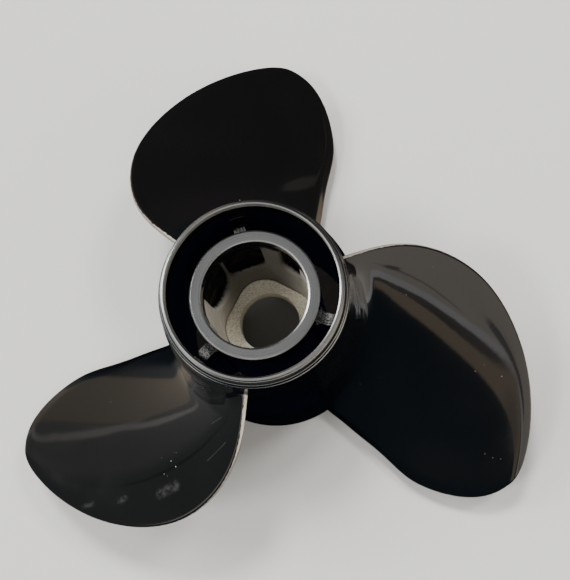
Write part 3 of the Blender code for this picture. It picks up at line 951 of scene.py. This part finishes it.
def make_rib(name):
    """A rib as rows of half widths from the hub to the barrel, repeated down the shaft."""
    low, high = (np.array(corner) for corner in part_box(name))
    centre = (low + high) / 2
    direction = math.atan2(centre[1], centre[0])
    front = np.linspace(high[2], high[2] - 3 * MM, 7)
    behind = np.linspace(high[2] - 8 * MM, low[2], 12)
    rows = []
    for height in np.concatenate([front, behind]):
        start, end = HUB_RADIUS - 0.2 * MM, float(passage_radius(height)) + 0.2 * MM
        reach = np.linspace(0, 1, RIB_COLUMNS)
        reach = start + (end - start) * (0.5 - 0.5 * np.cos(reach * math.pi))
        near = np.clip(1 - np.minimum(reach - start, end - reach) / RIB_ROUNDING, 0, 1)
        width = RIB_HALF + RIB_ROUNDING * (1 - np.sqrt(1 - near ** 2))
        drop = (reach - RIB_FACED_RADIUS) / (end - RIB_FACED_RADIUS)
        top = height - RIB_SLOPE * ease(drop) * (height > high[2] - 5 * MM)
        side = np.stack([reach, width, top], axis=-1)
        other = side[::-1] * (1, -1, 1)
        rows.append(np.concatenate([side, other]))
    points = np.concatenate(rows)
    turn = np.array(Matrix.Rotation(direction, 3, "Z"))
    points = points @ turn.T
    count = 2 * RIB_COLUMNS
    faces = grid_faces(len(rows), count)
    for row in (0, len(rows) - 1):
        start = row * count
        for i in range(RIB_COLUMNS - 1):
            faces.append((start + i, start + i + 1, start + count - 2 - i, start + count - 1 - i))
    return mesh_piece(f"{name}_painted", points, faces)


# %% Ribs with a faced front
FACED_DEPTH = 0.6 * MM


def fade_outwards(material):
    """Blackens the faced metal of the ribs towards the barrel, with a ragged edge."""
    tree = material.node_tree
    shader = tree.nodes["Principled BSDF"]
    place = place_of(tree)
    ragged = math_node(tree, "MULTIPLY", noise(tree, place, 300.0, 4.0, 0.7), 5.0 * MM)
    reach = math_node(tree, "ADD", shaft_distance(tree, place), ragged)
    black = smooth_step(tree, reach, RIB_FACED_RADIUS, RIB_FACED_RADIUS + 2.5 * MM)
    metal = shader.inputs["Base Color"].links[0].from_socket
    set_inputs(tree, shader, Base_Color=mix_colour(tree, black, metal, (0.002, 0.003, 0.004)))


fade_outwards(FACED_CAST)
for name in sorted(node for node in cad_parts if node.startswith("rib_")):
    rib = make_rib(name)
    top = max(vertex.co.z for vertex in rib.data.vertices)
    finish_piece(rib, name, [PAINT, FACED_CAST])
    for face in rib.data.polygons:
        radius = face.center.xy.length
        face.material_index = int(face.center.z > top - FACED_DEPTH and radius < RIB_FACED_RADIUS)

# %% [markdown]
# ## Blades
# A blade is a screw surface: its height rises with the turn about the shaft, and it rakes aft as it leaves
# the barrel. Its outline is a smooth curve through eleven points. A modelled blade needs three more things: a
# thickness that swells in the middle and closes in a round edge, a hollow fillet where it grows out of the
# barrel, and a slight curl along the trailing edge. A grid across the chord and up the span carries all
# three, with its lines crowded at the edges and in the fillet, where the surface bends most.

# %% Blade sizes
# Radius in millimetres and angle in degrees, from the root up the lead edge and down the trailing edge.
BLADE_OUTLINE = np.array((
    (44.0, 42.0),
    (73.2, 40.6),
    (97.6, 35.5),
    (123.0, 25.2),
    (145.7, 9.6),
    (163.3, -7.3),
    (166.7, -16.1),
    (155.6, -23.5),
    (125.2, -30.7),
    (91.8, -33.4),
    (50.0, -40.2),
))
TIP_KNOT = 6
LAST_KNOT = len(BLADE_OUTLINE) - 1

# The rise for each radian of turn at the barrel, what it loses with the radius, and the rake.
ROOT_LEAD = 78.2 * MM
LEAD_FADE = 0.137
ROOT_Z = 63.6 * MM
RAKE = 0.264
RAKE_EASE = 1.09
ROOT_THICKNESS = 9.0 * MM
TIP_THICKNESS = 3.4 * MM
EDGE_THICKNESS = 2.6 * MM
CAMBER = 4.0 * MM
FILLET = 9.0 * MM
FILLET_FADE = 14.0 * MM
EDGE_CURL = 1.6 * MM
CURL_WIDTH = 9.0 * MM
CHORD_CELLS = 64
FILLET_ROWS = 12
SPAN_ROWS = 84


# %% The blade's middle surface
def outline_curve(position):
    """Radius in metres and angle in radians on a smooth curve through the outline's points."""
    index = np.clip(position.astype(int), 0, LAST_KNOT - 1)
    t = (position - index)[..., None]
    knots = (np.clip(index + shift, 0, LAST_KNOT) for shift in (-1, 0, 1, 2))
    before, start, end, after = (BLADE_OUTLINE[knot] for knot in knots)
    point = 0.5 * (
        2 * start
        + (end - before) * t
        + (2 * before - 5 * start + 4 * end - after) * t ** 2
        + (3 * start - before - 3 * end + after) * t ** 3
    )
    return point[..., 0] * MM, np.radians(point[..., 1])


def barrel_skin(height):
    """The outside radius of the barrel and the flare at a height."""
    heights, radii = zip(*(SWELL + FLARE))
    return np.interp(height, np.array(heights[::-1]) * MM, np.array(radii[::-1]) * MM)


def middle_surface(across, along):
    """Radius, angle and height of the middle surface, across the chord and along the span."""
    lead_radius, lead_angle = outline_curve(TIP_KNOT * along)
    trail_radius, trail_angle = outline_curve(LAST_KNOT - (LAST_KNOT - TIP_KNOT) * along)
    radius = lead_radius + (trail_radius - lead_radius) * across
    angle = lead_angle + (trail_angle - lead_angle) * across
    out = radius - BARREL_RADIUS
    rise = CAMBER * np.sin(math.pi * along) * 4 * across * (1 - across)
    height = ROOT_Z + (ROOT_LEAD - LEAD_FADE * out) * angle - RAKE * out + RAKE_EASE * out ** 2 + rise
    return radius, angle, height


# %% Rows up the span
def root_share(across):
    """The share of the span at which each column of the grid leaves the barrel."""
    along = np.linspace(0, 0.4, 400)
    shares = []
    for column in across:
        radius, _, height = middle_surface(np.full_like(along, column), along)
        shares.append(np.interp(0.0, radius - barrel_skin(height), along))
    return np.array(shares)


def span_rows(root):
    """Shares of the free span: one row for each step round the fillet's arc, then even steps."""
    along = np.linspace(0, 1, 600)
    radius, _, height = middle_surface(np.full_like(along, 0.5), root + (1 - root) * along)
    out = radius - barrel_skin(height)
    arc = np.linspace(math.pi / 2, 0, FILLET_ROWS)
    fillet = np.interp(FILLET * (1 - np.sin(arc)), out[:450], along[:450])
    rest = np.linspace(fillet[-1], 1.0, SPAN_ROWS)[1:]
    crowd = fillet[-1] + (1 - fillet[-1]) * np.sin((rest - fillet[-1]) / (1 - fillet[-1]) * math.pi / 2)
    return np.concatenate([fillet, 0.5 * (rest + crowd)])[:-1]


ACROSS = 0.5 - 0.5 * np.cos(np.linspace(0, math.pi, CHORD_CELLS + 1))
ROOTS = root_share(ACROSS)
ROWS = span_rows(float(np.interp(0.5, ACROSS, ROOTS)))
print(len(ROWS), "rows, root shares", np.round(ROOTS[[0, len(ROOTS) // 2, -1]], 3))


# %% Distance from the free edge
def unit(vectors):
    return vectors / np.maximum(np.linalg.norm(vectors, axis=-1, keepdims=True), 1e-12)


def edge_distance(points):
    """Distance from each point of the middle surface to the blade's free edge."""
    along = np.linspace(0, 1, 900)
    sides = (np.full_like(along, side) for side in (0.0, 1.0))
    edge = np.concatenate([to_points(*middle_surface(side, along)) for side in sides])
    tree = KDTree(len(edge))
    for index, point in enumerate(edge):
        tree.insert(point, index)
    tree.balance()
    flat = points.reshape(-1, 3)
    return np.array([tree.find(point)[2] for point in flat]).reshape(points.shape[:-1])


# %% Thickness, round edges and curl
def blade_sections():
    """Closed sections of the blade, one for each row, and the distance of each point from the lead edge."""
    across = np.broadcast_to(ACROSS, (len(ROWS), len(ACROSS)))
    along = ROOTS + (1 - ROOTS) * ROWS[:, None]
    radius, angle, height = middle_surface(across, along)
    middle = to_points(radius, angle, height)
    out = radius - barrel_skin(height)
    chordwise = np.gradient(middle, axis=1)
    spanwise = np.gradient(middle, axis=0)
    normal = unit(np.cross(spanwise, chordwise))
    normal *= np.sign(normal[..., 2:3])
    edge = edge_distance(middle)
    share = np.clip(out / (BLADE_OUTLINE[TIP_KNOT][0] * MM - BARREL_RADIUS), 0, 1)
    thickest = ROOT_THICKNESS + (TIP_THICKNESS - ROOT_THICKNESS) * share ** 0.8
    lens = np.clip(4 * across * (1 - across), 0, 1) ** 0.7
    half = 0.5 * (EDGE_THICKNESS + (thickest - EDGE_THICKNESS) * lens)
    rounding = EDGE_THICKNESS / 2
    half *= np.sqrt(np.clip(1 - (1 - np.minimum(edge / rounding, 1)) ** 2, 0, 1))
    chord = np.cumsum(np.linalg.norm(np.diff(middle, axis=1, prepend=middle[:, :1]), axis=-1), axis=1)
    to_trail = chord[:, -1:] - chord
    curl = EDGE_CURL * ease(1 - to_trail / CURL_WIDTH) * ease(out / (2 * FILLET)) * (1 - share ** 6)
    middle = middle - normal * curl[..., None]
    upper = middle + normal * half[..., None]
    lower = middle - normal * half[..., None]
    section = np.concatenate([upper, lower[:, -2:0:-1]], axis=1)
    section_out = np.concatenate([out, out[:, -2:0:-1]], axis=1)
    from_lead = np.concatenate([chord, chord[:, -2:0:-1]], axis=1)
    return section, section_out, from_lead


# %% Fillet
def grow_fillet(section, out, from_lead):
    """Pushes the sections near the barrel outwards along the fillet's arc, less so near the two edges."""
    tangent = np.roll(section, -1, axis=1) - np.roll(section, 1, axis=1)
    radial = unit(section * (1, 1, 0))
    outward = unit(np.cross(tangent, radial))
    centre = section.mean(axis=1, keepdims=True)
    facing = np.sign((outward * (section - centre)).sum(axis=-1).mean(axis=1))
    outward *= facing[:, None, None]
    inside_arc = np.clip(FILLET - np.clip(out, 0, FILLET), 0, FILLET)
    growth = FILLET - np.sqrt(FILLET ** 2 - inside_arc ** 2)
    from_trail = from_lead.max(axis=1, keepdims=True) - from_lead
    growth *= ease(from_lead / FILLET_FADE) * ease(from_trail / FILLET_FADE)
    grown = section + outward * growth[..., None]
    radius = np.linalg.norm(grown[..., :2], axis=-1)
    wanted = barrel_skin(grown[..., 2]) + np.maximum(out, 0)
    hold = 1 - ease(out / (2 * FILLET))
    scale = 1 + hold * (wanted / radius - 1)
    return grown * np.stack([scale, scale, np.ones_like(scale)], axis=-1)


SECTIONS, SECTION_OUT, FROM_LEAD = blade_sections()
SECTIONS = grow_fillet(SECTIONS, SECTION_OUT, FROM_LEAD)
print("sections", SECTIONS.shape, "highest", round(float(SECTIONS[..., 2].max()), 4))


# %% Skin the blades
SUNK = 0.8 * MM

# How far the wear reaches in from the edge at the tip, and how many times as far it reaches at the root.
WEAR_WIDTH = 1.1 * MM
ROOT_WEAR = 2.2
ROOT_WEAR_FALL = 1.2
ROOT_WEAR_ROWS = 0.55


def blade_mesh(name, turn):
    """Skins the sections, closed at the root inside the barrel and at the tip."""
    count = SECTIONS.shape[1]
    root = SECTIONS[:1].copy()
    root[..., :2] *= 1 - SUNK / np.linalg.norm(root[..., :2], axis=-1, keepdims=True)
    tip_radius, tip_angle, tip_height = middle_surface(np.array([0.5]), np.array([1.0]))
    tip = to_points(tip_radius, tip_angle, tip_height)
    points = np.concatenate([root, SECTIONS]).reshape(-1, 3)
    points = np.concatenate([points, tip])
    spin = np.array(Matrix.Rotation(turn, 3, "Z"))
    rows = len(SECTIONS) + 1
    faces = grid_faces(rows, count)
    last = (rows - 1) * count
    faces += [(last + i, last + (i + 1) % count, len(points) - 1) for i in range(count)]
    half = count // 2
    faces += [(i, i + 1, (count - i - 1) % count, (count - i) % count) for i in range(1, half - 1)]
    faces += [(0, 1, count - 1), (half - 1, half, half + 1)]
    piece = mesh_piece(name, points @ spin.T, faces)
    fall = ROOT_WEAR_FALL * ease(np.linspace(0, 1, rows) / ROOT_WEAR_ROWS)
    width = WEAR_WIDTH * (ROOT_WEAR - fall)[:, None]
    wear = np.clip(1 - np.concatenate([FROM_LEAD[:1], FROM_LEAD]) / width, 0, 1)
    point_values(piece, "wear", np.append(wear.ravel(), 0.0))
    return piece


for name in sorted(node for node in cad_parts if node.startswith("blade_")):
    number = int(name.split("_")[1])
    blade = blade_mesh(f"{name}_painted", math.radians(90 + 120 * (number - 1)))
    finish_piece(blade, name, [PAINT], sharp=80)

# %% [markdown]
# ## Finish
# The dressed propeller should fill the same box as the imported one. The last cell measures the dressed box
# and prints the difference between its corners and those of the imported one, in millimetres.

# %% Sizes and finish
dressed_box = [list(corner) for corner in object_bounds()]
grown = [[round(1000 * (b - a), 2) for a, b in zip(*pair)] for pair in zip(cad_box, dressed_box)]
print("grown by, in mm:", grown)
